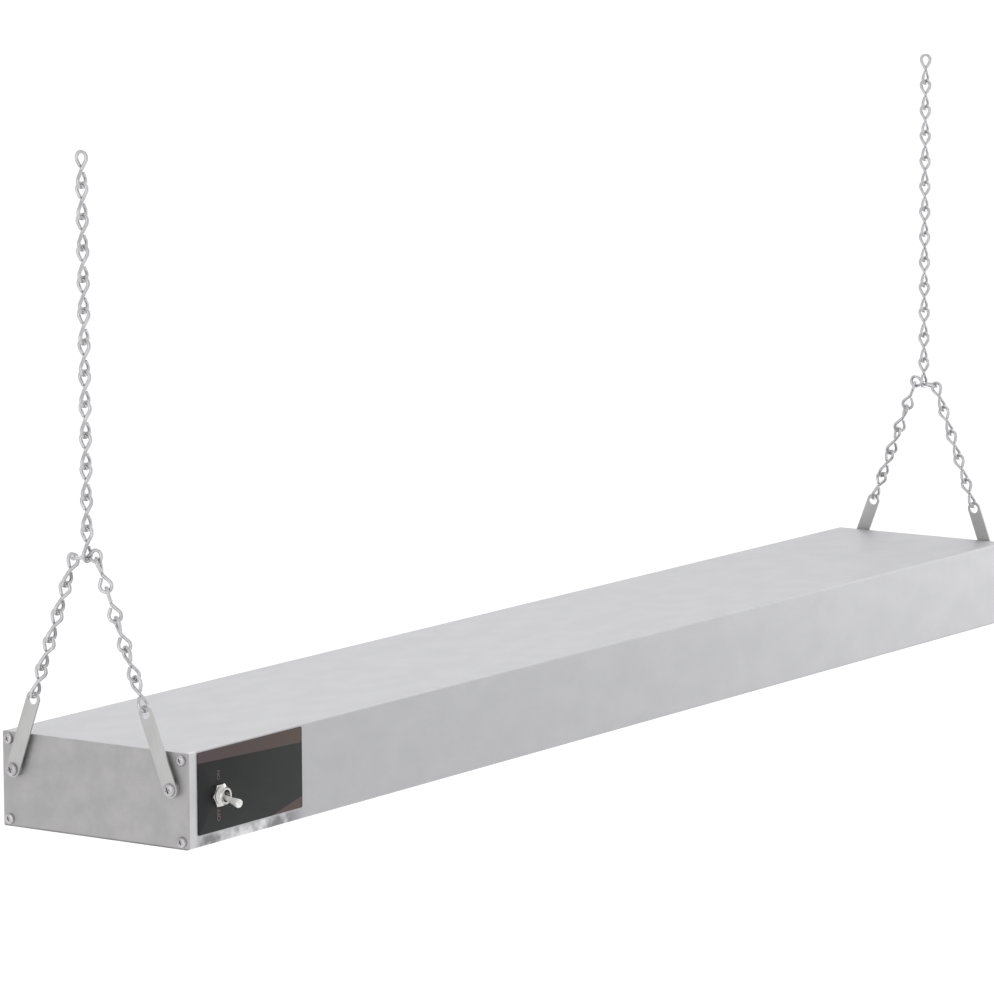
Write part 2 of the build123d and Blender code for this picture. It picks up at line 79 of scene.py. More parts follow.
def frame_of(origin: Vector, x_dir: Vector, z_dir: Vector) -> Matrix:
    """Place whose X and Z point along two square directions.

    Args:
        origin: where the piece's own origin goes.
        x_dir: where the piece's X points.
        z_dir: where the piece's Z points.

    Returns:
        The place as a matrix.
    """
    z_axis = z_dir.normalized()
    x_axis = (x_dir - z_axis * x_dir.dot(z_axis)).normalized()
    place = Matrix((x_axis, z_axis.cross(x_axis), z_axis)).transposed().to_4x4()
    place.translation = origin
    return place


# ---- the bench: moves that every sub-assembly shares -----------------


class Bench:
    """Modelling moves on one piece at a time."""

    @staticmethod
    def clear() -> None:
        """Leave edit mode with nothing selected."""
        if bpy.context.mode != "OBJECT":
            bpy.ops.object.mode_set(mode="OBJECT")
        bpy.ops.object.select_all(action="DESELECT")

    @staticmethod
    def take(piece: Object) -> None:
        """Make a piece the only one selected."""
        Bench.clear()
        piece.select_set(True)
        bpy.context.view_layer.objects.active = piece

    @staticmethod
    def settle(piece: Object) -> Object:
        """Put a piece's place, turn and scale into its mesh."""
        Bench.take(piece)
        bpy.ops.object.transform_apply(location=True, rotation=True, scale=True)
        return piece

    @staticmethod
    def disc(radius: float, flats: int, place: Matrix | None = None) -> Object:
        """Add an open ring of wire edges and settle it.

        Args:
            radius: radius in millimetres.
            flats: number of its sides.
            place: where it goes, or None for the origin.

        Returns:
            The ring, facing along the place's Z.
        """
        Bench.clear()
        bpy.ops.mesh.primitive_circle_add(vertices=flats, radius=radius * MM)
        ring = bpy.context.object
        ring.matrix_world = place or Matrix.Identity(4)
        return Bench.settle(ring)

    @staticmethod
    def bar(radius: float, length: float, flats: int) -> Object:
        """Add a round bar that stands on XY.

        Args:
            radius: radius in millimetres.
            length: height in millimetres.
            flats: number of its sides.

        Returns:
            The bar.
        """
        Bench.clear()
        bpy.ops.mesh.primitive_cylinder_add(
            vertices=flats, radius=radius * MM, depth=length * MM, location=(0, 0, length * MM / 2)
        )
        return Bench.settle(bpy.context.object)

    @staticmethod
    def block(low: Vector, high: Vector) -> Object:
        """Add a block between two corners given in metres."""
        Bench.clear()
        bpy.ops.mesh.primitive_cube_add(size=1, location=(low + high) / 2)
        block = bpy.context.object
        block.scale = high - low
        return Bench.settle(block)

    @staticmethod
    def open(piece: Object) -> None:
        """Enter edit mode with every edge selected."""
        Bench.take(piece)
        bpy.ops.object.mode_set(mode="EDIT")
        bpy.ops.mesh.select_mode(type="EDGE")
        bpy.ops.mesh.select_all(action="SELECT")

    @staticmethod
    def pick_faces(piece: Object, test: FaceTest) -> None:
        """Select, in edit mode, the faces whose centre and normal pass a test."""
        bpy.ops.mesh.select_mode(type="FACE")
        mesh = bmesh.from_edit_mesh(piece.data)
        for face in mesh.faces:
            face.select_set(test(face.calc_center_median(), face.normal))
        bmesh.update_edit_mesh(piece.data)

    @staticmethod
    def pick_edges(piece: Object, test: FaceTest) -> None:
        """Select, in edit mode, the edges whose middle and direction pass a test."""
        bpy.ops.mesh.select_mode(type="EDGE")
        mesh = bmesh.from_edit_mesh(piece.data)
        for edge in mesh.edges:
            start, end = (vertex.co for vertex in edge.verts)
            edge.select_set(test((start + end) / 2, (end - start).normalized()))
        bmesh.update_edit_mesh(piece.data)

    @staticmethod
    def pull(step: Vector, scale: float = 1.0, pivot: Vector | None = None) -> None:
        """Extrude what is selected, then shrink or widen it about a point.

        Args:
            step: how far to pull, in metres.
            scale: size of the pulled end against the old one.
            pivot: centre of the scaling after the pull, in metres.
        """
        bpy.ops.mesh.extrude_region_move(TRANSFORM_OT_translate={"value": step})
        if scale != 1.0:
            bpy.ops.transform.resize(value=(scale,) * 3, center_override=pivot)

    @staticmethod
    def turn(angle: float, centre: Vector, axis: Vector, steps: int) -> None:
        """Spin what is selected about an axis by the right-hand rule, angle in degrees."""
        bpy.ops.mesh.spin(steps=steps, angle=-math.radians(angle), center=centre, axis=axis)

    @staticmethod
    def close(piece: Object) -> Object:
        """Leave edit mode with doubles merged and every face looking outwards."""
        bpy.ops.mesh.select_all(action="SELECT")
        bpy.ops.mesh.remove_doubles(threshold=WELD)
        bpy.ops.mesh.normals_make_consistent(inside=False)
        bpy.ops.object.mode_set(mode="OBJECT")
        return piece

    @staticmethod
    def cut(piece: Object, cutter: Object, operation: str = "DIFFERENCE") -> Object:
        """Cut one piece by another, which is used up."""
        Bench.take(piece)
        cut = piece.modifiers.new("cut", "BOOLEAN")
        cut.object, cut.operation, cut.solver = cutter, operation, "EXACT"
        bpy.ops.object.modifier_apply(modifier=cut.name)
        bpy.data.objects.remove(cutter)
        return piece

    @staticmethod
    def lathe(profile: Sequence[tuple[float, float]], flats: int) -> Object:
        """Turn an outline of (radius, height) in millimetres about Z, closed at both ends.

        Args:
            profile: outline from its lower end to its upper end.
            flats: number of sides round the axis.

        Returns:
            The turned piece.
        """
        radius, height = profile[0]
        piece = Bench.disc(radius, flats, Matrix.Translation(mm(0, 0, height)))
        Bench.open(piece)
        bpy.ops.mesh.edge_face_add()
        Bench.pick_edges(piece, lambda middle, direction: True)
        for after, level in profile[1:]:
            Bench.pull(mm(0, 0, level - height), after / radius, mm(0, 0, level))
            radius, height = after, level
        bpy.ops.mesh.edge_face_add()
        return Bench.close(piece)

    @staticmethod
    def copies(master: Object, places: Iterable[Matrix]) -> Object:
        """Copy a piece to several places, each with its own mesh, and join them.

        Args:
            master: the piece, modelled at the origin.
            places: where the copies go.

        Returns:
            The joined piece, with its place in its mesh.
        """
        made = []
        for place in places:
            copy = bpy.data.objects.new(master.name, master.data.copy())
            bpy.context.scene.collection.objects.link(copy)
            copy.matrix_world = place
            made.append(Bench.settle(copy))
        Bench.take(made[0])
        for copy in made[1:]:
            copy.select_set(True)
        if len(made) > 1:
            bpy.ops.object.join()
        return made[0]

    @staticmethod
    def smooth(piece: Object, angle: float = 30.0) -> Object:
        """Shade smooth except over edges sharper than an angle in degrees."""
        Bench.take(piece)
        bpy.ops.object.shade_smooth_by_angle(angle=math.radians(angle))
        return piece


# ---- finishes --------------------------------------------------------


CRISP = 0.1 * MM  # half width of a printed edge
PATCH_RANGE = (0.36, 0.64)  # noise levels over which the slow patches fade in
GRAIN_RANGE = (0.3, 0.7)  # noise levels that the grain's colour and roughness span
MARK_RANGE = (0.66, 0.80)  # noise levels over which the rubbed marks fade in, for a share of 0
MARK_SHARE = 0.25  # how far a share of 1 lowers that range
MARK_WAVES = 7.0  # waves of the rubbed marks to one of the slow patches
MARK_COLOUR, MARK_ROUGH, MARK_RELIEF = 0.5, 0.12, 0.4  # what a mark adds to each
RELIEF = 0.6  # strength of the grain's bump


class Weaver:
    """Adds and joins the nodes of one material."""

    def __init__(self, name: str) -> None:
        """Start a material of that name with an empty shader."""
        self.material = bpy.data.materials.new(name)
        self.material.use_nodes = True
        self.tree: Tree = self.material.node_tree
        self.shader: Node = self.tree.nodes["Principled BSDF"]
        self.place: Socket = self.add("ShaderNodeTexCoord").outputs["Object"]

    def add(self, kind: str, **settings: object) -> Node:
        """Add a node and set its properties."""
        node = self.tree.nodes.new(kind)
        for name, value in settings.items():
            setattr(node, name, value)
        return node

    def feed(self, socket: Socket, value: object) -> None:
        """Link a socket to another, or set its number or colour."""
        if isinstance(value, bpy.types.NodeSocket):
            self.tree.links.new(value, socket)
        elif isinstance(value, tuple) and len(value) == 3 and len(socket.default_value) == 4:
            socket.default_value = (*value, 1.0)
        else:
            socket.default_value = value

    def noise(self, scale: Sequence[float], detail: float = 4.0, rough: float = 0.55) -> Socket:
        """Clouds of noise.

        Args:
            scale: waves a metre along X, Y and Z.
            detail: how many finer layers there are.
            rough: how strong the finer layers are.

        Returns:
            The noise, about 0 to 1.
        """
        mapping = self.add("ShaderNodeMapping")
        mapping.inputs["Scale"].default_value = scale
        self.feed(mapping.inputs["Vector"], self.place)
        noise = self.add("ShaderNodeTexNoise")
        noise.inputs["Scale"].default_value = 1.0
        noise.inputs["Detail"].default_value = detail
        noise.inputs["Roughness"].default_value = rough
        self.feed(noise.inputs["Vector"], mapping.outputs["Vector"])
        return noise.outputs["Fac"]

    def spread(
        self, value: Socket, low: float, high: float, to: tuple[float, float] = (0.0, 1.0)
    ) -> Socket:
        """Stretch a range of values over another, cut off at both ends."""
        ranged = self.add("ShaderNodeMapRange", clamp=True)
        for name, number in zip(("From Min", "From Max", "To Min", "To Max"), (low, high, *to)):
            ranged.inputs[name].default_value = number
        self.feed(ranged.inputs["Value"], value)
        return ranged.outputs["Result"]

    def math(self, operation: str, first: object, second: object) -> Socket:
        """One sum of two sockets or numbers."""
        node = self.add("ShaderNodeMath", operation=operation)
        self.feed(node.inputs[0], first)
        self.feed(node.inputs[1], second)
        return node.outputs["Value"]

    def blend(self, factor: object, first: object, second: object, how: str = "MIX") -> Socket:
        """Mix two colours by a factor."""
        node = self.add("ShaderNodeMix", data_type="RGBA", blend_type=how)
        self.feed(node.inputs[0], factor)
        self.feed(node.inputs[6], first)
        self.feed(node.inputs[7], second)
        return node.outputs[2]

    def axis(self, name: str) -> Socket:
        """One coordinate of the surface, in metres."""
        parts = self.add("ShaderNodeSeparateXYZ")
        self.feed(parts.inputs["Vector"], self.place)
        return parts.outputs[name]

    def past(self, axis: str, place: float, start: float, end: float) -> Socket:
        """Fade from 0 to 1 between two distances past a place, in millimetres."""
        return self.spread(self.axis(axis), place + start * MM, place + end * MM)

    def over(self, first: Socket, second: Socket) -> Socket:
        """1 where the first length is more than the second and 0 where it is less."""
        return self.spread(self.math("SUBTRACT", first, second), -CRISP, CRISP)

    def bump(self, height: Socket, depth: float, strength: float) -> None:
        """Raise the surface by a height pattern, its depth in millimetres."""
        bump = self.add("ShaderNodeBump")
        bump.inputs["Strength"].default_value = strength
        bump.inputs["Distance"].default_value = depth * MM
        self.feed(bump.inputs["Height"], height)
        self.feed(self.shader.inputs["Normal"], bump.outputs["Normal"])

    def set(self, **inputs: object) -> None:
        """Set or link the shader's inputs, with _ for a space in their names."""
        for name, value in inputs.items():
            self.feed(self.shader.inputs[name.replace("_", " ")], value)


@dataclass(frozen=True)
class Finish:
    """A metal or moulded surface: fine grain over slow patches, with rubbed marks.

    Attributes:
        name: material's name.
        slot: name of a material slot; not used.
        colour: main colour.
        patch: colour of the slow patches.
        metallic: 0 for plastic and ceramic, 1 for bare metal.
        roughness: least and most roughness.
        grain: waves a metre of the grain along X, Y and Z.
        patches: waves a metre of the slow patches along X, Y and Z.
        depth: depth of the grain in millimetres.
        marks: share of the surface with rubbed marks.
        mark: colour of the rubbed marks.
        contrast: how far the grain lightens and darkens the colour.
        gloss: specular level.
    """

    name: str
    slot: str
    colour: Colour
    patch: Colour
    metallic: float = 1.0
    roughness: tuple[float, float] = (0.3, 0.45)
    grain: tuple[float, float, float] = (900.0, 900.0, 900.0)
    patches: tuple[float, float, float] = (14.0, 14.0, 14.0)
    depth: float = 0.01
    marks: float = 0.2
    mark: Colour = (0.5, 0.5, 0.5)
    contrast: float = 0.06
    gloss: float = 0.5

    def material(self) -> bpy.types.Material:
        """The finish as a material, made once."""
        made = bpy.data.materials.get(self.name)
        return made if made else self.weave(Weaver(self.name))

    def weave(self, weaver: Weaver) -> bpy.types.Material:
        """Join the nodes of the finish.

        Args:
            weaver: the material under way.

        Returns:
            The finished material.
        """
        grain = weaver.noise(self.grain, detail=5.0, rough=0.65)
        patches = weaver.noise(self.patches, detail=3.0)
        waves = tuple(MARK_WAVES * wave for wave in self.patches)
        rubbed = weaver.noise(waves, detail=6.0, rough=0.7)
        marks = weaver.spread(rubbed, *(level - MARK_SHARE * self.marks for level in MARK_RANGE))
        base = weaver.blend(weaver.spread(patches, *PATCH_RANGE), self.colour, self.patch)
        base = weaver.blend(weaver.math("MULTIPLY", marks, MARK_COLOUR), base, self.mark)
        shade = weaver.spread(grain, *GRAIN_RANGE, (1.0 - self.contrast, 1.0 + self.contrast))
        base = weaver.blend(1.0, base, shade, "MULTIPLY")
        rough = weaver.spread(grain, *GRAIN_RANGE, self.roughness)
        relief = weaver.math("ADD", grain, weaver.math("MULTIPLY", marks, MARK_RELIEF))
        weaver.set(
            Base_Color=self.dress(weaver, base),
            Roughness=weaver.math("ADD", rough, weaver.math("MULTIPLY", marks, MARK_ROUGH)),
            Metallic=self.metallic,
            Specular_IOR_Level=self.gloss,
        )
        weaver.bump(relief, self.depth, RELIEF)
        return weaver.material

    def dress(self, weaver: Weaver, base: Socket) -> Socket:
        """Last change to the colour; none in a plain finish."""
        return base


@dataclass(frozen=True)
class PlateFinish(Finish):
    """Satin black overlay with a brown band along its top and a wedge in its far lower corner.

    Attributes:
        node: CAD node that gives the plate's place.
        band: height of the band at the near and far ends, in millimetres.
        corner: start of the wedge, as a share of the plate, and its height in millimetres.
        band_near: colour of the band at the near end.
        band_far: colour of the band and the wedge at the far end.
    """

    node: str = "control_plate"
    band: tuple[float, float] = (7.0, 10.5)
    corner: tuple[float, float] = (0.70, 8.0)
    band_near: Colour = (0.074, 0.053, 0.057)
    band_far: Colour = (0.068, 0.047, 0.038)

    def dress(self, weaver: Weaver, base: Socket) -> Socket:
        """Lay the band and the wedge over the black."""
        low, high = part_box(self.node)
        near, far = self.band
        along = weaver.spread(weaver.axis("X"), low[0], high[0])
        foot = weaver.spread(along, 0.0, 1.0, (high[2] - near * MM, high[2] - far * MM))
        start, rise = self.corner
        head = weaver.spread(along, start, 1.0, (low[2], low[2] + rise * MM))
        level = weaver.axis("Z")
        printed = weaver.math("MAXIMUM", weaver.over(level, foot), weaver.over(head, level))
        return weaver.blend(printed, base, weaver.blend(along, self.band_near, self.band_far))


@dataclass(frozen=True)
class HousingFinish(Finish):
    """Aluminium sheet, blotched under the control plate, with a painted highlight that lightens the
    front between the plate and the cap.

    Attributes:
        node: CAD node of the control plate.
        blotch: colour of the dark blotches.
        shine: colour between them.
        weight: how much of the sheet's colour the blotches take.
        waves: waves a metre of the blotches along X, Y and Z.
        edge: painted highlight colour on the front between the plate and the cap.
    """

    node: str = "control_plate"
    blotch: Colour = (0.19, 0.19, 0.20)
    shine: Colour = (0.66, 0.66, 0.67)
    weight: float = 0.92
    waves: tuple[float, float, float] = (60.0, 20.0, 60.0)
    edge: Colour = (0.53, 0.53, 0.54)

    def dress(self, weaver: Weaver, base: Socket) -> Socket:
        """Lay the painted highlight beside the plate and the blotches over the front."""
        low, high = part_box(self.node)
        front = weaver.past("Y", low[1], 4.0, 2.0)
        # painted highlight: the front between the cap and the plate's near end is lightened to
        # stand in for the light off the fold
        fold_highlight_mask = weaver.math("MULTIPLY", weaver.past("X", low[0], -0.4, -1.2), front)
        base = weaver.blend(fold_highlight_mask, base, self.edge)
        strip = weaver.math("MULTIPLY", weaver.past("Z", low[2], 0.0, -2.0), front)
        for fade in (weaver.past("X", low[0], -4.0, 6.0), weaver.past("X", high[0], 4.0, -16.0)):
            strip = weaver.math("MULTIPLY", strip, fade)
        spots = weaver.spread(weaver.noise(self.waves, detail=2.0), 0.40, 0.62)
        spotted = weaver.blend(spots, self.blotch, self.shine)
        return weaver.blend(weaver.math("MULTIPLY", strip, self.weight), base, spotted)


@dataclass(frozen=True)
class CapFinish(Finish):
    """Sheet plate with a painted shadow line along its lower edge, the shade under its foot.

    Attributes:
        node: CAD node that gives the edge's height.
        line: height of the painted shadow line in millimetres.
        painted_shadow: colour of the shadow painted along the lower edge.
    """

    node: str = "left_end_cap"
    line: float = 1.3
    painted_shadow: Colour = (0.16, 0.15, 0.15)

    def dress(self, weaver: Weaver, base: Socket) -> Socket:
        """Lay the painted shadow line over the plate."""
        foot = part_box(self.node)[0][2]
        # painted shade: a dark strip along the cap's lower edge, its strength varied by noise,
        # stands in for the shadow under the cap's foot
        low = weaver.past("Z", foot, self.line, 0.5 * self.line)
        wander = weaver.spread(weaver.noise((40.0, 40.0, 8.0), detail=2.0), 0.3, 0.6, (0.45, 0.9))
        return weaver.blend(weaver.math("MULTIPLY", low, wander), base, self.painted_shadow)


@dataclass(frozen=True)
class HeatedFinish(Finish):
    """Sheath that has been red hot: straw and blue tints come and go along the rod.

    Attributes:
        tint: colour of the heat tint.
    """

    tint: Colour = (0.10, 0.09, 0.12)

    def dress(self, weaver: Weaver, base: Socket) -> Socket:
        """Lay the heat tint over the oxide."""
        bands = weaver.noise((9.0, 2.0, 2.0), detail=2.0)
        return weaver.blend(weaver.spread(bands, 0.42, 0.62, (0.0, 0.7)), base, self.tint)


def even(waves: float) -> tuple[float, float, float]:
    """The same number of waves along X, Y and Z."""
    return (waves, waves, waves)


class Finishes(Enum):
    """Every finish on the warmer."""

    HOUSING = HousingFinish(
        "brushed aluminium", "brushed_aluminium", (0.42, 0.42, 0.432), (0.40, 0.40, 0.411), 0.8,
        (0.45, 0.51), (90.0, 1100.0, 1100.0), (34.0, 50.0, 50.0), 0.002,
        0.1, (0.43, 0.43, 0.44), 0.025,
    )
    CAP = CapFinish(
        "brushed end cap", "brushed_steel_cap", (0.40, 0.391, 0.395), (0.36, 0.355, 0.356), 0.8,
        (0.46, 0.54), (900.0, 300.0, 900.0), (55.0, 70.0, 70.0), 0.002,
        0.3, (0.43, 0.42, 0.43), 0.03,
    )
    REFLECTOR = Finish(
        "polished reflector", "polished_aluminium", (0.84, 0.84, 0.85), (0.78, 0.76, 0.72), 1.0,
        (0.10, 0.2), (6.0, 700.0, 700.0), (12.0, 20.0, 20.0), 0.002, 0.25, (0.7, 0.68, 0.66),
    )
    SHEET = Finish(
        "mill sheet", "sheet_steel", (0.60, 0.60, 0.61), (0.53, 0.53, 0.54), 1.0,
        (0.34, 0.48), (30.0, 900.0, 900.0), even(20.0), 0.004, 0.3, (0.66, 0.66, 0.66),
    )
    SHEATH = HeatedFinish(
        "oxidised sheath", "element_sheath", (0.17, 0.155, 0.14), (0.12, 0.115, 0.11), 0.8,
        (0.42, 0.62), (60.0, 900.0, 900.0), (40.0, 60.0, 60.0), 0.01, 0.4, (0.24, 0.22, 0.2),
    )
    CLIP = Finish(
        "spring strip", "spring_steel", (0.46, 0.46, 0.47), (0.36, 0.35, 0.35), 1.0,
        (0.32, 0.46), even(600.0), even(60.0), 0.004, 0.3, (0.3, 0.26, 0.22),
    )
    CERAMIC = Finish(
        "glazed steatite", "ceramic", (0.82, 0.79, 0.72), (0.76, 0.72, 0.63), 0.0,
        (0.22, 0.38), even(500.0), even(50.0), 0.01, 0.3, (0.6, 0.53, 0.44),
    )
    PIN = Finish(
        "terminal pin", "terminal_pin", (0.6, 0.58, 0.54), (0.52, 0.5, 0.45), 1.0,
        (0.25, 0.4), even(900.0), even(120.0), 0.002, 0.2, (0.4, 0.36, 0.3),
    )
    FASTENER = Finish(
        "zinc fastener", "zinc_fastener", (0.50, 0.49, 0.50), (0.38, 0.37, 0.38), 1.0,
        (0.24, 0.38), even(800.0), even(150.0), 0.004, 0.4, (0.26, 0.25, 0.26),
    )
    PLATE = PlateFinish(
        "satin black overlay", "black_plate",
        (0.0105, 0.0125, 0.0115), (0.0135, 0.0155, 0.0145), 0.0,
        (0.48, 0.58), even(1500.0), even(30.0), 0.006, 0.1, (0.03, 0.03, 0.03), 0.06, 0.2,
    )
    MARKING = Finish(
        "faded marking", "black_plate", (0.135, 0.075, 0.075), (0.11, 0.065, 0.065), 0.0,
        (0.45, 0.55), even(1500.0), even(300.0), 0.002, 0.3, (0.09, 0.06, 0.06), 0.06, 0.25,
    )
    MOULDING = Finish(
        "switch moulding", "switch_moulding", (0.028, 0.028, 0.028), (0.038, 0.037, 0.036), 0.0,
        (0.35, 0.5), even(900.0), even(60.0), 0.01, 0.2, (0.06, 0.06, 0.06),
    )
    NICKEL = Finish(
        "nickel plate", "nickel_plate", (0.60, 0.59, 0.57), (0.50, 0.49, 0.47), 1.0,
        (0.16, 0.28), even(700.0), even(160.0), 0.002, 0.2, (0.42, 0.41, 0.39),
    )
    BAT = Finish(
        "satin nickel bat", "nickel_plate", (0.72, 0.72, 0.70), (0.64, 0.64, 0.62), 0.45,
        (0.34, 0.46), even(700.0), even(160.0), 0.002, 0.2, (0.6, 0.6, 0.58), 0.03,
    )
    NYLON = Finish(
        "black nylon", "black_nylon", (0.024, 0.024, 0.024), (0.034, 0.034, 0.034), 0.0,
        (0.38, 0.5), even(1100.0), even(80.0), 0.012, 0.2, (0.05, 0.05, 0.05),
    )
    STRAP = Finish(
        "zinc strap", "zinc_strap", (0.47, 0.47, 0.466), (0.43, 0.43, 0.426), 0.85,
        (0.38, 0.48), (900.0, 900.0, 120.0), (50.0, 50.0, 30.0), 0.003,
        0.2, (0.42, 0.42, 0.42), 0.03,
    )
    CHAIN = Finish(
        "bright zinc wire", "zinc_chain", (0.54, 0.54, 0.552), (0.43, 0.43, 0.445), 1.0,
        (0.22, 0.36), (500.0, 500.0, 160.0), (180.0, 180.0, 120.0), 0.004, 0.35, (0.36, 0.36, 0.37),
    )


class Shop:
    """Hands each finished piece to the frame and reports it."""

    @staticmethod
    def paint(piece: Object, finish: Finishes) -> None:
        """Give a piece its only material."""
        piece.data.materials.clear()
        piece.data.materials.append(finish.value.material())

    @staticmethod
    def mount(piece: Object, name: str, body: str, finish: Finishes) -> None:
        """Name, paint and mount a piece.

        Args:
            piece: the piece, with its place in its mesh.
            name: piece name.
            body: CAD body that it rides on.
            finish: its finish.
        """
        piece.name = piece.data.name = name
        Shop.paint(piece, finish)
        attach(piece, body)
        LOG.info("%s: %d faces on %s", name, len(piece.data.polygons), body)

    @staticmethod
    def fit(piece: Object, node: str, form: str, finish: Finishes, body: str = "heater") -> None:
        """Mount a piece in the place of a CAD node.

        Args:
            piece: the piece, with its place in its mesh.
            node: the CAD node that it stands for, which its name starts with.
            form: end of its name.
            finish: its finish.
            body: CAD body that it rides on.
        """
        Shop.mount(piece, f"{node}_{form}", body, finish)
        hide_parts(node)

    @staticmethod
    def dress(nodes: dict[str, Object], name: str, finish: Finishes) -> None:
        """Give a CAD node its finish."""
        Shop.paint(nodes[name], finish)
        LOG.info("%s: CAD solid in %s", name, finish.value.name)


@dataclass
class Assembly:
    """Part of the warmer that is placed by its heights above the heater's underside.

    Attributes:
        underside: height of the heater's underside in the frame, in metres.
    """

    underside: float

    def spot(self, x: float, y: float, z: float) -> Vector:
        """Place in the frame, in metres, of a height above the underside."""
        return mm(x, y, z + self.underside / MM)


# ---- hanging gear ----------------------------------------------------


@dataclass
class JackLink:
    """One link of single jack chain: two loops of one wire that stand square to each other.

    Attributes:
        wire: wire radius.
        loop: radius of a loop to the wire's centre.
        length: distance between the centre lines of both ends.
        tail: distance of the cut wire ends from the waist.
        bend: radius of the bend at the waist.
        chamfer: length of the chamfer on the cut ends.
        tip: radius of a cut end's tip against the wire's.
        flats: sides of the wire.
        steps: steps of a loop and of the bend.
    """

    wire: float = 1.24
    loop: float = 4.0
    length: float = 23.0
    tail: float = 2.4
    bend: float = 1.9
    chamfer: float = 0.25
    tip: float = 0.72
    flats: int = 12
    steps: tuple[int, int] = (16, 4)

    def build(self) -> Object:
        """Bend the wire from one cut end to the other, its upper loop in XZ and its lower in YZ."""
        centre = self.length / 2 - self.loop
        lean = math.asin(self.loop / centre)
        out, up = math.sin(lean), math.cos(lean)
        reach = math.sqrt(centre**2 - self.loop**2)
        sweep = 180 + 2 * math.degrees(lean)
        start = Vector((out, 0, up))
        loop_steps, bend_steps = self.steps
        cut_end = frame_of(self.tail * start * MM, Vector((0, 1, 0)), start)
        wire = Bench.disc(self.wire, self.flats, cut_end)
        Bench.open(wire)
        Bench.pull((reach - self.tail) * start * MM)
        Bench.turn(sweep, mm(0, 0, centre), Vector((0, -1, 0)), loop_steps)
        down, away = Vector((out, 0, -up)), Vector((0, out, -up))
        turn = down.angle(away)
        trim = self.bend * math.tan(turn / 2)
        Bench.pull((reach - trim) * down * MM)
        inward = (away - down * down.dot(away)).normalized()
        pivot = (self.bend * inward - trim * down) * MM
        Bench.turn(math.degrees(turn), pivot, down.cross(away), bend_steps)
        Bench.pull((reach - trim) * away * MM)
        Bench.turn(sweep, mm(0, 0, -centre), Vector((-1, 0, 0)), loop_steps)
        Bench.pull((reach - self.tail) * Vector((0, out, up)) * MM)
        return self.trim_ends(wire, start, Vector((0, -out, -up)))

    def trim_ends(self, wire: Object, *ends: Vector) -> Object:
        """Close both cut ends with a small chamfer.

        Args:
            wire: the open wire, in edit mode.
            ends: direction from the waist to each cut end.

        Returns:
            The closed wire.
        """
        for end in ends:
            place = self.tail * end * MM
            Bench.pick_edges(
                wire,
                lambda middle, direction: (middle - place).length < 1.01 * self.wire * MM
                and abs(direction.dot(end)) < 0.01,
            )
            step = -self.chamfer * end * MM
            Bench.pull(step, self.tip, place + step)
            bpy.ops.mesh.edge_face_add()
        return Bench.smooth(Bench.close(wire), 40)


@dataclass
class PanScrew:
    """Pan head screw with a cross recess; its head rests on Z = 0 and points along +Z.

    Attributes:
        head: head radius.
        height: head height.
        shank: shank radius.
        length: shank length.
        pitch: pitch of the thread.
        root: root of the thread against the shank's radius.
        crown: outline of the head, as shares of its radius and height.
        wing: half length and half width of the recess against the head's radius.
        foot: foot of the recess against the head's height.
        taper: length and width of the recess at its foot against those at its top.
    """

    head: float
    height: float
    shank: float
    length: float
    pitch: float = 1.0
    root: float = 0.84
    crown: tuple[tuple[float, float], ...] = (
        (0.96, 0.0), (1.0, 0.12), (0.985, 0.42), (0.93, 0.66),
        (0.82, 0.84), (0.62, 0.96), (0.3, 1.0),
    )
    wing: tuple[float, float] = (0.56, 0.12)
    foot: float = 0.35
    taper: tuple[float, float] = (0.45, 0.6)

    def build(self) -> Object:
        """Turn the head and the ridged shank, and press the recess."""
        head = Bench.lathe([(self.head * r, self.height * h) for r, h in self.crown], 32)
        self.press_recess(head)
        Bench.take(head)
        thread = self.thread()
        thread.select_set(True)
        head.select_set(True)
        bpy.context.view_layer.objects.active = head
        bpy.ops.object.join()
        return Bench.smooth(head, 32)

    def thread(self) -> Object:
        """Shank with a point and one ridge for each turn of the thread."""
        turns = max(2, round((self.length - self.shank) / self.pitch))
        outline = [(self.shank * 0.25, -self.length)]
        foot = -self.length + self.shank
        for number in range(turns):
            level = foot + (self.length - self.shank) * number / turns
            outline += [(self.shank * self.root, level), (self.shank, level + self.pitch * 0.4)]
        outline.append((self.shank * self.root, 0.1))
        return Bench.lathe(outline, 14)

    def press_recess(self, head: Object) -> None:
        """Cut a cross that narrows towards its foot."""
        x, y = (share * self.head for share in self.wing)
        foot, clear = self.foot * self.height, 1.3 * self.height
        for turn in (0.0, math.pi / 2):
            wing = Bench.block(mm(-x, -y, foot), mm(x, y, clear))
            Bench.open(wing)
            Bench.pick_faces(wing, lambda centre, normal: normal.z < -0.9)
            bpy.ops.transform.resize(value=(*self.taper, 1.0), center_override=mm(0, 0, foot))
            Bench.close(wing)
            wing.matrix_world = Matrix.Rotation(turn + math.pi / 8, 4, "Z")
            Bench.cut(head, Bench.settle(wing))


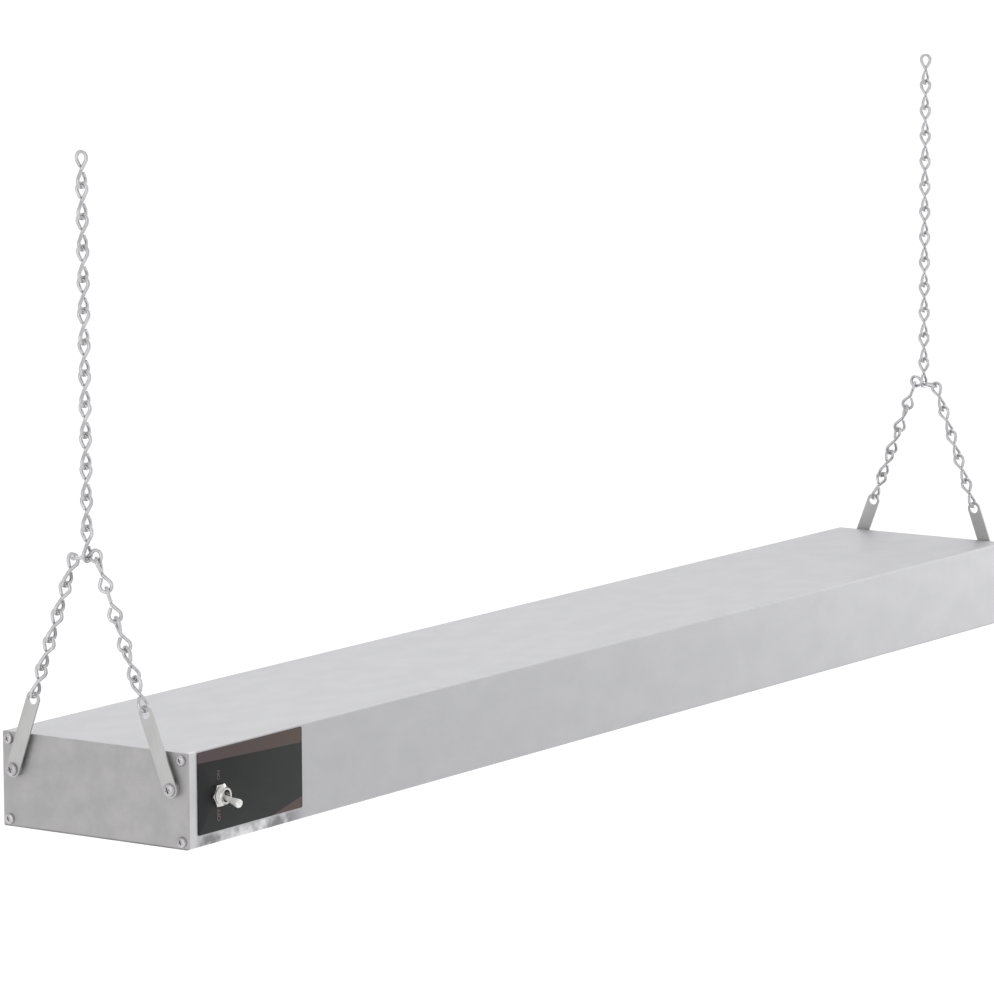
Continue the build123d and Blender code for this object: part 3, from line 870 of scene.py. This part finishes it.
@dataclass
class Strap:
    """Flat hanger bar with round ends, standing on its pivot along +Z, its faces square to X.

    Attributes:
        width: bar width.
        thick: bar thickness.
        reach: pivot hole to chain hole.
        pivot_hole: radius of the pivot hole.
        chain_hole: radius of the chain hole.
        edge: radius of the tumbled edges.
    """

    width: float = 11.1
    thick: float = 1.5
    reach: float = 51.7
    pivot_hole: float = 2.6
    chain_hole: float = 3.5
    edge: float = 0.35

    def build(self) -> Object:
        """Stretch a blank disc to the bar, round its edges and punch both holes."""
        bar = Bench.bar(self.width / 2, self.thick, 48)
        Bench.open(bar)
        Bench.pick_faces(bar, lambda centre, normal: centre.x > 0.1 * self.width * MM)
        bpy.ops.transform.translate(value=mm(self.reach, 0, 0))
        Bench.pick_edges(bar, lambda middle, direction: abs(direction.z) < 0.1)
        bpy.ops.mesh.bevel(offset=self.edge * MM, segments=3, profile=0.6)
        Bench.close(bar)
        for x, radius in ((0.0, self.pivot_hole), (self.reach, self.chain_hole)):
            punch = Bench.bar(radius, 4 * self.thick, 36)
            punch.location = mm(x, 0, -self.thick)
            Bench.cut(bar, Bench.settle(punch))
        bar.matrix_world = frame_of(mm(-self.thick / 2, 0, 0), Vector((0, 0, 1)), Vector((1, 0, 0)))
        return Bench.smooth(Bench.settle(bar), 35)


@dataclass
class HangingGear(Assembly):
    """Straps, bridles and drop chains of both ends, each end the other turned half round.

    Attributes:
        chain_x: plane of the chains and straps.
        pivot_y: strap pivots, from the middle.
        pivot_z: height of the strap pivots.
        cap_x: outer face of the end caps.
        leans: lean of the front (-1) and back (1) leg at the control end, in degrees.
        tilt: tilt of the middle link, in degrees.
        apex: height of the middle link's waist.
        pitch: pitch of the chain.
        drop_foot: height of the drop chain's lower end.
        drop_links: links of a drop chain.
        leg_start: first wire of a leg, from its strap's pivot.
        leg_links: links of a leg.
        foot_roll: roll of the twisted leg's lowest link, in degrees.
        head_roll: the same for its highest link, from square to the middle link.
        spacer: radius, bore radius and thickness of a spacer.
        link: link of every chain.
        strap: hanger strap.
        pivot_screw: screw of a strap's pivot.
    """

    chain_x: float = 537.15
    pivot_y: float = 65.0
    pivot_z: float = 39.3
    cap_x: float = 533.4
    leans: dict[int, float] = field(default_factory=lambda: {-1: 21.3231, 1: 20.3292})
    tilt: float = 8.39584
    apex: float = 185.715
    pitch: float = 20.2
    drop_foot: float = 182.915
    drop_links: int = 13
    leg_start: float = 53.35
    leg_links: int = 5
    foot_roll: float = 6.0
    head_roll: float = 24.0
    spacer: tuple[float, float, float] = (5.0, 2.6, 3.0)
    link: JackLink = field(default_factory=JackLink)
    strap: Strap = field(default_factory=Strap)
    pivot_screw: PanScrew = field(default_factory=lambda: PanScrew(4.4, 2.6, 2.4, 11.0, 1.1))

    def hanging(self, level: float) -> Matrix:
        """Place of a link that hangs straight, with its waist at a level."""
        origin = self.spot(-self.chain_x, 0, level)
        return frame_of(origin, Vector((0, 1, 0)), Vector((0, 0, 1)))

    def drop_places(self, first: int, last: int) -> list[Matrix]:
        """Places of the drop chain's links, counted from the top."""
        foot = self.drop_foot + self.link.length / 2
        return [
            self.hanging(foot + (self.drop_links - number) * self.pitch)
            for number in range(first, last + 1)
        ]

    def middle_place(self) -> Matrix:
        """Place of the link that lies across the drop chain's last loop."""
        tilt = math.radians(self.tilt)
        origin = self.spot(-self.chain_x, 0, self.apex)
        along, rise = math.cos(tilt), math.sin(tilt)
        return frame_of(origin, Vector((0, -rise, -along)), Vector((0, -along, rise)))

    def leg_places(self, side: int) -> list[Matrix]:
        """Places of a leg's links, the front leg winding through a quarter turn.

        Args:
            side: -1 for the front leg and 1 for the back one.

        Returns:
            The places from the strap upwards.
        """
        lean = math.radians(self.leans[side])
        up = Vector((0, -side * math.sin(lean), math.cos(lean)))
        across = Vector((0, math.cos(lean), side * math.sin(lean)))
        winding = (90 - self.foot_roll - self.head_roll) / (self.leg_links - 1)
        foot = self.spot(-self.chain_x, side * self.pivot_y, self.pivot_z)
        places = []
        for number in range(self.leg_links):
            roll = math.radians(180 - self.foot_roll - number * winding) if side < 0 else 0.0
            level = self.leg_start + self.link.length / 2 + number * self.pitch
            turned = Matrix.Rotation(roll, 3, up) @ across
            places.append(frame_of(foot + level * up * MM, turned, up))
        return places

    def strap_place(self, side: int) -> Matrix:
        """Place of a strap that leans in line with its leg."""
        foot = Matrix.Translation(self.spot(-self.chain_x, side * self.pivot_y, self.pivot_z))
        return foot @ Matrix.Rotation(math.radians(side * self.leans[side]), 4, "X")

    def at_pivots(self, x: float) -> list[Matrix]:
        """Places on both pivots, facing out of the control end."""
        return [
            frame_of(self.spot(-x, y, self.pivot_z), Vector((0, 0, 1)), Vector((-1, 0, 0)))
            for y in (-self.pivot_y, self.pivot_y)
        ]

    def spacer_ring(self) -> Object:
        """Turned spacer with broken edges, standing on Z = 0."""
        radius, hole, thick = self.spacer
        edge = 0.3
        blunt = radius - edge
        outline = [(blunt, 0), (radius, edge), (radius, thick - edge), (blunt, thick)]
        ring = Bench.lathe(outline, 32)
        bore = Bench.bar(hole, 2 * thick, 24)
        bore.location = mm(0, 0, -thick / 2)
        return Bench.smooth(Bench.cut(ring, Bench.settle(bore)), 35)

    def build(self) -> None:
        """Build and mount the gear of both ends."""
        link = self.link.build()
        strap = self.strap.build()
        screw = self.pivot_screw.build()
        spacer = self.spacer_ring()
        strap_face = self.chain_x + self.strap.thick / 2
        half_turn = Matrix.Rotation(math.pi, 4, "Z")
        for end, turn, side in (("left", Matrix.Identity(4), -1), ("right", half_turn, 1)):
            legs = {"front": self.leg_places(side), "back": self.leg_places(-side)}
            wires = {
                "top_link": ("ceiling_links", self.drop_places(1, 1)),
                "swing_link": (f"{end}_swing", self.drop_places(2, 2)),
                "drop_chain": (f"{end}_sling", self.drop_places(3, self.drop_links)),
                "middle_link": (f"{end}_sling", [self.middle_place()]),
                "front_bridle_leg": (f"{end}_sling", legs["front"]),
                "back_bridle_leg": (f"{end}_sling", legs["back"]),
            }
            for node, (body, places) in wires.items():
                wire = Bench.copies(link, [turn @ place for place in places])
                Shop.fit(wire, f"{end}_{node}", "wire", Finishes.CHAIN, body)
            for where, leg in (("front", side), ("back", -side)):
                bar = Bench.copies(strap, [turn @ self.strap_place(leg)])
                Shop.fit(bar, f"{end}_{where}_strap", "bar", Finishes.STRAP)
            at_pivots = {"pivot_screws": (screw, strap_face), "strap_spacers": (spacer, self.cap_x)}
            for node, (master, x) in at_pivots.items():
                piece = Bench.copies(master, [turn @ place for place in self.at_pivots(x)])
                Shop.fit(piece, f"{end}_{node}", "turned", Finishes.FASTENER)
        for master in (link, strap, screw, spacer):
            bpy.data.objects.remove(master)


# ---- heater box ------------------------------------------------------


@dataclass
class HeaterBox(Assembly):
    """Housing, end caps, trough and covers, which keep their CAD solids, and the screws on them.

    Attributes:
        cap_x: outer face of the end caps.
        corner_y: cap screws, from the middle.
        corner_z: heights of the cap screws.
        cover_x: cover screws along the heater.
        cover_y: cover screws, from the middle.
        cap_screw: screw of an end cap.
        cover_screw: screw of a bay cover.
    """

    cap_x: float = 533.4
    corner_y: float = 71.2
    corner_z: tuple[float, float] = (5.0, 58.5)
    cover_x: tuple[float, ...] = (-517.3, -408.5, 488.5, 517.3)
    cover_y: float = 61.9
    cap_screw: PanScrew = field(default_factory=lambda: PanScrew(3.6, 2.2, 1.7, 14.0, 1.0))
    cover_screw: PanScrew = field(default_factory=lambda: PanScrew(3.0, 1.6, 1.6, 6.0, 1.0))

    def at(self, x: float, y: float, z: float, facing: Vector, across: Vector) -> Matrix:
        """Place of a screw, given what it faces and where its recess is turned."""
        return frame_of(self.spot(x, y, z), across, facing)

    def build(self, nodes: dict[str, Object]) -> None:
        """Dress the solids and mount the screws."""
        finishes = {
            "housing": Finishes.HOUSING, "reflector": Finishes.REFLECTOR,
            "heating_element": Finishes.SHEATH, "element_clips": Finishes.CLIP,
        }
        for end in ("left", "right"):
            finishes |= {
                f"{end}_end_cap": Finishes.CAP, f"{end}_bulkhead": Finishes.SHEET,
                f"{end}_bay_cover": Finishes.SHEET, f"{end}_element_seal": Finishes.CERAMIC,
                f"{end}_element_insulator": Finishes.CERAMIC, f"{end}_element_pin": Finishes.PIN,
                f"{end}_pivot_nuts": Finishes.FASTENER,
            }
        for name, finish in finishes.items():
            Shop.dress(nodes, name, finish)
        screw = self.cap_screw.build()
        up, along = Vector((0, 0, 1)), Vector((1, 0, 0))
        for end, side in (("left", -1), ("right", 1)):
            places = [
                self.at(side * self.cap_x, y, z, Vector((side, 0, 0)), up)
                for y in (-self.corner_y, self.corner_y)
                for z in self.corner_z
            ]
            piece = Bench.copies(screw, places)
            Shop.fit(piece, f"{end}_cap_screws", "turned", Finishes.FASTENER)
        bpy.data.objects.remove(screw)
        screw = self.cover_screw.build()
        places = [
            self.at(x, y, 0, -up, along)
            for x in self.cover_x
            for y in (-self.cover_y, self.cover_y)
        ]
        Shop.fit(Bench.copies(screw, places), "bay_cover_screws", "turned", Finishes.FASTENER)
        bpy.data.objects.remove(screw)


# ---- control plate and toggle ----------------------------------------


@dataclass
class Controls(Assembly):
    """Control plate, its markings, the toggle switch and the cord bushing.

    Attributes:
        face: Y of the housing's front wall.
        wall: wall thickness.
        plate: near end, far end, foot and top of the plate.
        plate_thick: plate thickness.
        plate_corner: radius of the plate's corners.
        switch_x: toggle along the heater.
        switch_z: height of the toggle.
        bushing: radius of the threaded bushing.
        bore: bore of the bushing.
        proud: bushing past the plate.
        body_gap: from the wall to the foot of the bushing.
        thread: pitch and depth of the bushing's thread.
        nut_width: nut over its flats.
        nut_thick: nut thickness.
        nut_chamfer: height of the chamfer on a nut's faces.
        lever_angle: lever below square to the plate, in degrees.
        lever_out: lever's pivot past the plate.
        mark_gap: middle of each marking from the toggle.
        mark_length: lengths of the ON and OFF markings.
        ink: middle of the print past the plate, and half its thickness.
        entry: X, Y and height of the cord entry.
        bat: outline of the lever from inside its ball to its tip, as (radius, height).
        snap: outline of the cord bushing, the flange standing on 0.
        snap_bore: outline of its bore.
    """

    face: float = -76.2
    wall: float = 1.6
    plate: tuple[float, float, float, float] = (-523.0, -410.0, 7.9, 62.3)
    plate_thick: float = 0.8
    plate_corner: float = 1.2
    switch_x: float = -501.4
    switch_z: float = 31.4
    bushing: float = 5.95
    bore: float = 4.1
    proud: float = 6.4
    body_gap: float = 4.0
    thread: tuple[float, float] = (0.8, 0.36)
    nut_width: float = 14.2
    nut_thick: float = 2.4
    nut_chamfer: float = 0.55
    lever_angle: float = 14.0
    lever_out: float = 0.6
    mark_gap: float = 13.2
    mark_length: tuple[float, float] = (6.0, 8.2)
    ink: tuple[float, float] = (0.02, 0.03)
    entry: tuple[float, float, float] = (-463.4, 76.2, 31.75)
    bat: tuple[tuple[float, float], ...] = (
        (1.2, -3.4), (2.7, -2.5), (3.5, -1.2), (3.7, 0.0), (3.5, 1.2), (2.8, 2.3), (1.9, 3.0),
        (1.55, 4.2), (1.6, 6.0), (1.85, 8.5), (2.2, 11.0), (2.6, 13.5), (2.88, 15.6),
        (2.85, 16.5), (2.45, 17.3), (1.6, 17.75), (0.6, 17.85),
    )
    snap: tuple[tuple[float, float], ...] = (
        (10.2, -9.0), (10.9, -8.6), (10.9, -3.4), (11.8, -2.6), (11.8, -1.8), (10.9, -1.7),
        (10.9, 0.0), (13.4, 0.0), (13.5, 0.5), (13.2, 1.3), (12.4, 1.85), (11.2, 2.0), (9.4, 2.0),
    )
    snap_bore: tuple[tuple[float, float], ...] = (
        (8.6, -12.0), (8.0, -7.0), (8.0, 0.6), (8.4, 1.4), (9.3, 2.2), (9.3, 6.0),
    )

    def on_switch(self, y: float, out: float = -1.0) -> Matrix:
        """Place on the toggle's axis, facing out of the front or into the housing."""
        origin = self.spot(self.switch_x, y, self.switch_z)
        return frame_of(origin, Vector((1, 0, 0)), Vector((0, out, 0)))

    def build(self, nodes: dict[str, Object]) -> None:
        """Build and mount the plate, the toggle and the cord bushing."""
        Shop.dress(nodes, "switch_body", Finishes.MOULDING)
        Shop.fit(self.overlay(), "control_plate", "overlay", Finishes.PLATE)
        for word, side, length in zip(("ON", "OFF"), (1, -1), self.mark_length):
            mark = self.marking(word, self.switch_z + side * self.mark_gap, length)
            Shop.mount(mark, f"marking_{word.lower()}", "heater", Finishes.MARKING)
        Shop.fit(self.threaded_bushing(), "switch_bushing", "threaded", Finishes.NICKEL)
        Shop.fit(self.nuts(), "switch_nuts", "chamfered", Finishes.NICKEL)
        Shop.fit(self.lever(), "switch_lever", "bat", Finishes.BAT, "lever")
        Shop.fit(self.snap_bushing(), "cord_bushing", "snap", Finishes.NYLON)

    def overlay(self) -> Object:
        """Thin plate with rounded corners, a broken front edge and the toggle's hole."""
        near, far, foot, top = self.plate
        front = self.face - self.plate_thick
        plate = Bench.block(self.spot(near, front, foot), self.spot(far, self.face, top))
        Bench.open(plate)
        Bench.pick_edges(plate, lambda middle, direction: abs(direction.y) > 0.9)
        bpy.ops.mesh.bevel(offset=self.plate_corner * MM, segments=5)
        Bench.pick_faces(plate, lambda centre, normal: normal.y < -0.9)
        bpy.ops.mesh.bevel(offset=0.2 * MM, segments=2)
        Bench.close(plate)
        punch = Bench.bar(self.bushing + 0.2, 8, 40)
        punch.matrix_world = self.on_switch(self.face + 4)
        return Bench.smooth(Bench.cut(plate, Bench.settle(punch)), 30)

    def marking(self, word: str, z: float, length: float) -> Object:
        """One printed word that reads upwards.

        Args:
            word: what it says.
            z: height of its middle.
            length: its length.

        Returns:
            The word as a thin mesh on the plate.
        """
        Bench.clear()
        bpy.ops.object.text_add()
        text = bpy.context.object
        text.data.body = word
        text.data.align_x = text.data.align_y = "CENTER"
        text.data.extrude = 0.01
        text.data.offset = 0.02
        depth = text.data.extrude
        bpy.ops.object.convert(target="MESH")
        mark = bpy.context.object
        scale = length * MM / mark.dimensions.x
        out, half = self.ink
        origin = self.spot(self.switch_x, self.face - self.plate_thick - out, z)
        stretch = Matrix.Diagonal((scale, scale, half * MM / depth, 1.0))
        mark.matrix_world = frame_of(origin, Vector((0, 0, 1)), Vector((0, -1, 0))) @ stretch
        return Bench.settle(mark)

    def threaded_bushing(self) -> Object:
        """Bushing with a ridge for each turn of its thread."""
        foot = self.face + self.wall + self.body_gap
        length = foot - self.face + self.plate_thick + self.proud
        pitch, depth = self.thread
        root = self.bushing - depth
        outline = [(self.bushing - 0.3, 0.0)]
        for number in range(int((length - 0.6) / pitch)):
            level = 0.2 + number * pitch
            outline += [(root, level), (self.bushing, level + pitch / 2)]
        outline += [(root, length - 0.5), (self.bushing - 0.45, length)]
        bushing = Bench.lathe(outline, 40)
        bore = Bench.bar(self.bore, length + 4, 32)
        bore.location = mm(0, 0, -2)
        Bench.cut(bushing, Bench.settle(bore))
        bushing.matrix_world = self.on_switch(foot)
        return Bench.smooth(Bench.settle(bushing), 30)

    def nut(self) -> Object:
        """Hex nut with both faces chamfered, standing on Z = 0."""
        corner = self.nut_width / 2 / math.cos(math.pi / 6)
        nut = Bench.bar(corner, self.nut_thick, 6)
        nut.matrix_world = Matrix.Rotation(math.pi / 6, 4, "Z")
        Bench.settle(nut)
        flat, chamfer = self.nut_width / 2, self.nut_chamfer
        outline = [
            (flat * 0.985, 0), (corner * 1.01, chamfer),
            (corner * 1.01, self.nut_thick - chamfer), (flat * 0.985, self.nut_thick),
        ]
        Bench.cut(nut, Bench.lathe(outline, 48), "INTERSECT")
        bore = Bench.bar(self.bushing + 0.02, self.nut_thick + 2, 40)
        bore.location = mm(0, 0, -1)
        return Bench.cut(nut, Bench.settle(bore))

    def nuts(self) -> Object:
        """Nut in front of the plate and nut behind the wall."""
        nut = self.nut()
        outer = self.on_switch(self.face - self.plate_thick)
        inner = self.on_switch(self.face + self.wall, 1.0)
        pair = Bench.copies(nut, [outer, inner])
        bpy.data.objects.remove(nut)
        return Bench.smooth(pair, 25)

    def lever(self) -> Object:
        """Bat handle on its ball, in the lower position."""
        bat = Bench.lathe(self.bat, 28)
        down = math.radians(self.lever_angle)
        y = self.face - self.plate_thick - self.lever_out
        pivot = self.spot(self.switch_x, y, self.switch_z)
        out = Vector((0, -math.cos(down), -math.sin(down)))
        bat.matrix_world = frame_of(pivot, Vector((1, 0, 0)), out)
        return Bench.smooth(Bench.settle(bat), 50)

    def snap_bushing(self) -> Object:
        """Cord bushing with a domed flange, a snap ridge and a flared bore."""
        bushing = Bench.lathe(self.snap, 48)
        Bench.cut(bushing, Bench.lathe(self.snap_bore, 48))
        bushing.matrix_world = frame_of(
            self.spot(*self.entry), Vector((1, 0, 0)), Vector((0, 1, 0))
        )
        return Bench.smooth(Bench.settle(bushing), 30)


# ---- studio ----------------------------------------------------------


@dataclass
class Lamp:
    """One soft light.

    Attributes:
        name: its name.
        place: where it stands, in metres.
        size: width and height, in metres.
        power: watts.
        aim: X and Y of the spot on the heater that it faces, in metres.
        spread: angle of its beam, in degrees.
    """

    name: str
    place: tuple[float, float, float]
    size: tuple[float, float]
    power: float
    aim: tuple[float, float]
    spread: float = 180.0

    def build(self, level: float) -> None:
        """Add the light, facing its aim at the heater's level."""
        light = bpy.data.lights.new(self.name, "AREA")
        light.shape = "RECTANGLE"
        light.size, light.size_y = self.size
        light.energy = self.power
        light.spread = math.radians(self.spread)
        lamp = bpy.data.objects.new(self.name, light)
        bpy.context.scene.collection.objects.link(lamp)
        lamp.location = self.place
        beam = Vector((*self.aim, level)) - lamp.location
        lamp.rotation_euler = beam.to_track_quat("-Z", "Y").to_euler()
        lamp.visible_camera = False


@dataclass
class Studio:
    """White room, soft lights and the camera.

    Attributes:
        underside: height of the heater's underside in the frame, in metres.
        floor_drop: floor below the underside, in metres.
        floor_size: length of the floor's sides, in metres.
        floor_glow: light that the floor gives off by itself.
        azimuth: camera round the heater, in degrees.
        elevation: camera above the level, in degrees.
        roll: camera's roll, in degrees.
        stand: camera's place, its height from the underside, in metres.
        lens: focal length, in millimetres.
        sensor: width of the sensor, in millimetres.
    """

    underside: float
    floor_drop: float = 1.1
    floor_size: float = 240.0
    floor_glow: float = 0.15
    azimuth: float = -55.6
    elevation: float = 8.23
    roll: float = -0.28
    stand: tuple[float, float, float] = (-3.3954, -2.2782, 0.7508)
    lens: float = 206.67
    sensor: float = 36.0

    def build(self) -> None:
        """Build the room, the lights and the camera."""
        self.floor()
        self.air()
        for lamp in (
            Lamp("top light", (1.2, 1.2, 2.0), (2.4, 2.0), 27.0, (0.3, 0.0)),
            Lamp("edge light", (1.9, -0.35, 0.9), (1.2, 1.2), 6.0, (0.0, -0.07)),
            Lamp("far front light", (1.6, -0.75, -0.3), (0.7, 0.7), 0.75, (0.5, -0.08), 80.0),
            Lamp("near end light", (-2.4, -0.2, -0.1), (1.6, 1.6), 6.0, (-0.5, 0.0)),
        ):
            lamp.build(self.underside)
        self.camera()

    def floor(self) -> None:
        """Pale floor, wide enough to be the whole background."""
        Bench.clear()
        level = self.underside - self.floor_drop
        bpy.ops.mesh.primitive_plane_add(size=self.floor_size, location=(0, 0, level))
        floor = bpy.context.object
        floor.name = "floor"
        weaver = Weaver("pale floor")
        mottle = weaver.spread(weaver.noise((0.8, 0.8, 0.8)), 0.3, 0.7)
        weaver.set(
            Base_Color=weaver.blend(mottle, (0.90, 0.90, 0.90), (0.92, 0.92, 0.92)),
            Roughness=0.9,
            Emission_Color=(1.0, 1.0, 1.0),
            Emission_Strength=self.floor_glow,
        )
        floor.data.materials.append(weaver.material)

    def air(self) -> None:
        """Even white surroundings."""
        world = bpy.data.worlds.new("white room")
        world.use_nodes = True
        background = world.node_tree.nodes["Background"]
        background.inputs["Color"].default_value = (1.0, 1.0, 1.0, 1.0)
        background.inputs["Strength"].default_value = 1.0
        bpy.context.scene.world = world
        bpy.context.scene.view_settings.view_transform = "Standard"

    def camera(self) -> None:
        """Camera at the viewing angle, with its depth of field off."""
        a, e, roll = (math.radians(v) for v in (self.azimuth, self.elevation, self.roll))
        back = Vector((math.sin(a) * math.cos(e), -math.cos(a) * math.cos(e), math.sin(e)))
        right = (-back).cross(Vector((0, 0, 1))).normalized()
        up = right.cross(-back)
        across = right * math.cos(roll) + up * math.sin(roll)
        x, y, z = self.stand
        camera = bpy.data.objects.new("camera", bpy.data.cameras.new("camera"))
        bpy.context.scene.collection.objects.link(camera)
        camera.matrix_world = frame_of(Vector((x, y, z + self.underside)), across, back)
        camera.data.sensor_width = self.sensor
        camera.data.lens = self.lens
        camera.data.dof.use_dof = False
        camera.data.clip_start, camera.data.clip_end = 0.05, 400.0
        bpy.context.scene.camera = camera


def main() -> None:
    """Build the warmer on its frame, and the studio round it."""
    logging.basicConfig(level=logging.INFO, format="%(message)s")
    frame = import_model()
    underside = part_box("housing")[0].z
    Bench.clear()
    Studio(underside).build()
    HeaterBox(underside).build(frame["nodes"])
    Controls(underside).build(frame["nodes"])
    HangingGear(underside).build()
    Bench.clear()


if __name__ == "__main__":
    main()
